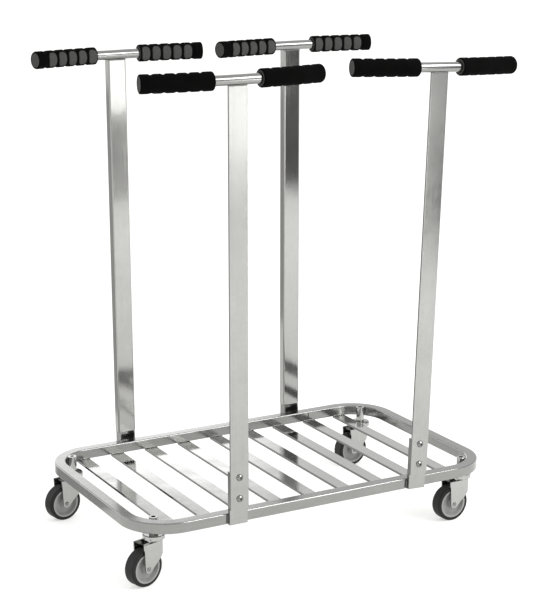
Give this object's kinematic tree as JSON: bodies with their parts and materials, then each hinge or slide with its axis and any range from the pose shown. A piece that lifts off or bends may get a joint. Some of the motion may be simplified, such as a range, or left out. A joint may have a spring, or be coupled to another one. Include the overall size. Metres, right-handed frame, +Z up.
{
  "type": "platform trolley",
  "caption": "Low slatted platform trolley on swivel castors, a plated tube ring with upright T-handles that carry foam grips.",
  "frame": {"origin": "on the floor, at the middle of the ring frame", "axes": "+X along the frame toward the side the castors lead with, +Y across it toward the tubular uprights, +Z up"},
  "size_m": [0.8566, 0.5625, 0.9978],
  "materials": {
    "plated_steel": "bright zinc plate, smooth",
    "castor_steel": "zinc plate, pressed",
    "fastener_steel": "bright zinc plate",
    "grip_foam": "matt fine-celled foam",
    "tyre_rubber": "matt black rubber",
    "hub_plastic": "moulded grey plastic",
    "bush_plastic": "moulded dark plastic"
  },
  "bodies": {
    "frame": {"frame_ring": "plated_steel", "deck_slat_1": "plated_steel", "deck_slat_2": "plated_steel", "deck_slat_3": "plated_steel", "deck_slat_4": "plated_steel", "deck_slat_5": "plated_steel", "deck_slat_6": "plated_steel", "deck_slat_7": "plated_steel", "deck_slat_8": "plated_steel", "deck_slat_9": "plated_steel", "post_stub_front_left": "plated_steel", "post_front_left": "plated_steel", "handlebar_front_left": "plated_steel", "grip_front_left_left": "grip_foam", "grip_front_left_right": "grip_foam", "castor_stem_front_left": "castor_steel", "post_stub_front_right": "plated_steel", "post_front_right": "plated_steel", "handlebar_front_right": "plated_steel", "grip_front_right_left": "grip_foam", "grip_front_right_right": "grip_foam", "castor_stem_front_right": "castor_steel", "post_stub_rear_left": "plated_steel", "post_rear_left": "plated_steel", "handlebar_rear_left": "plated_steel", "grip_rear_left_left": "grip_foam", "grip_rear_left_right": "grip_foam", "castor_stem_rear_left": "castor_steel", "post_stub_rear_right": "plated_steel", "post_rear_right": "plated_steel", "handlebar_rear_right": "plated_steel", "grip_rear_right_left": "grip_foam", "grip_rear_right_right": "grip_foam", "castor_stem_rear_right": "castor_steel", "post_bolts": "fastener_steel", "post_nuts": "fastener_steel", "castor_sockets": "plated_steel", "swivel_balls": "fastener_steel"},
    "castor_front_left": {"castor_fork_front_left": "castor_steel", "axle_front_left": "castor_steel"},
    "wheel_front_left": {"wheel_hub_front_left": "hub_plastic", "wheel_bush_front_left": "bush_plastic", "tyre_front_left": "tyre_rubber"},
    "castor_front_right": {"castor_fork_front_right": "castor_steel", "axle_front_right": "castor_steel"},
    "wheel_front_right": {"wheel_hub_front_right": "hub_plastic", "wheel_bush_front_right": "bush_plastic", "tyre_front_right": "tyre_rubber"},
    "castor_rear_left": {"castor_fork_rear_left": "castor_steel", "axle_rear_left": "castor_steel"},
    "wheel_rear_left": {"wheel_hub_rear_left": "hub_plastic", "wheel_bush_rear_left": "bush_plastic", "tyre_rear_left": "tyre_rubber"},
    "castor_rear_right": {"castor_fork_rear_right": "castor_steel", "axle_rear_right": "castor_steel"},
    "wheel_rear_right": {"wheel_hub_rear_right": "hub_plastic", "wheel_bush_rear_right": "bush_plastic", "tyre_rear_right": "tyre_rubber"}
  },
  "joints": [
    {"name": "castor_swivel_front_left", "type": "hinge", "parent": "frame", "child": "castor_front_left", "pos_m": [-0.361, -0.2025, 0.095], "axis": [0, 0, 1], "continuous": true},
    {"name": "wheel_roll_front_left", "type": "hinge", "parent": "castor_front_left", "child": "wheel_front_left", "pos_m": [-0.38708, -0.20949, 0.0375], "axis": [-0.2588, 0.9659, 0], "continuous": true},
    {"name": "castor_swivel_front_right", "type": "hinge", "parent": "frame", "child": "castor_front_right", "pos_m": [0.361, -0.2025, 0.095], "axis": [0, 0, 1], "continuous": true},
    {"name": "wheel_roll_front_right", "type": "hinge", "parent": "castor_front_right", "child": "wheel_front_right", "pos_m": [0.33401, -0.20321, 0.0375], "axis": [-0.0262, 0.9997, 0], "continuous": true},
    {"name": "castor_swivel_rear_left", "type": "hinge", "parent": "frame", "child": "castor_rear_left", "pos_m": [-0.361, 0.2025, 0.095], "axis": [0, 0, 1], "continuous": true},
    {"name": "wheel_roll_rear_left", "type": "hinge", "parent": "castor_rear_left", "child": "wheel_rear_left", "pos_m": [-0.38759, 0.19781, 0.0375], "axis": [-0.1736, 0.9848, 0], "continuous": true},
    {"name": "castor_swivel_rear_right", "type": "hinge", "parent": "frame", "child": "castor_rear_right", "pos_m": [0.361, 0.2025, 0.095], "axis": [0, 0, 1], "continuous": true},
    {"name": "wheel_roll_rear_right", "type": "hinge", "parent": "castor_rear_right", "child": "wheel_rear_right", "pos_m": [0.33407, 0.20062, 0.0375], "axis": [-0.0698, 0.9976, 0], "continuous": true}
  ]
}
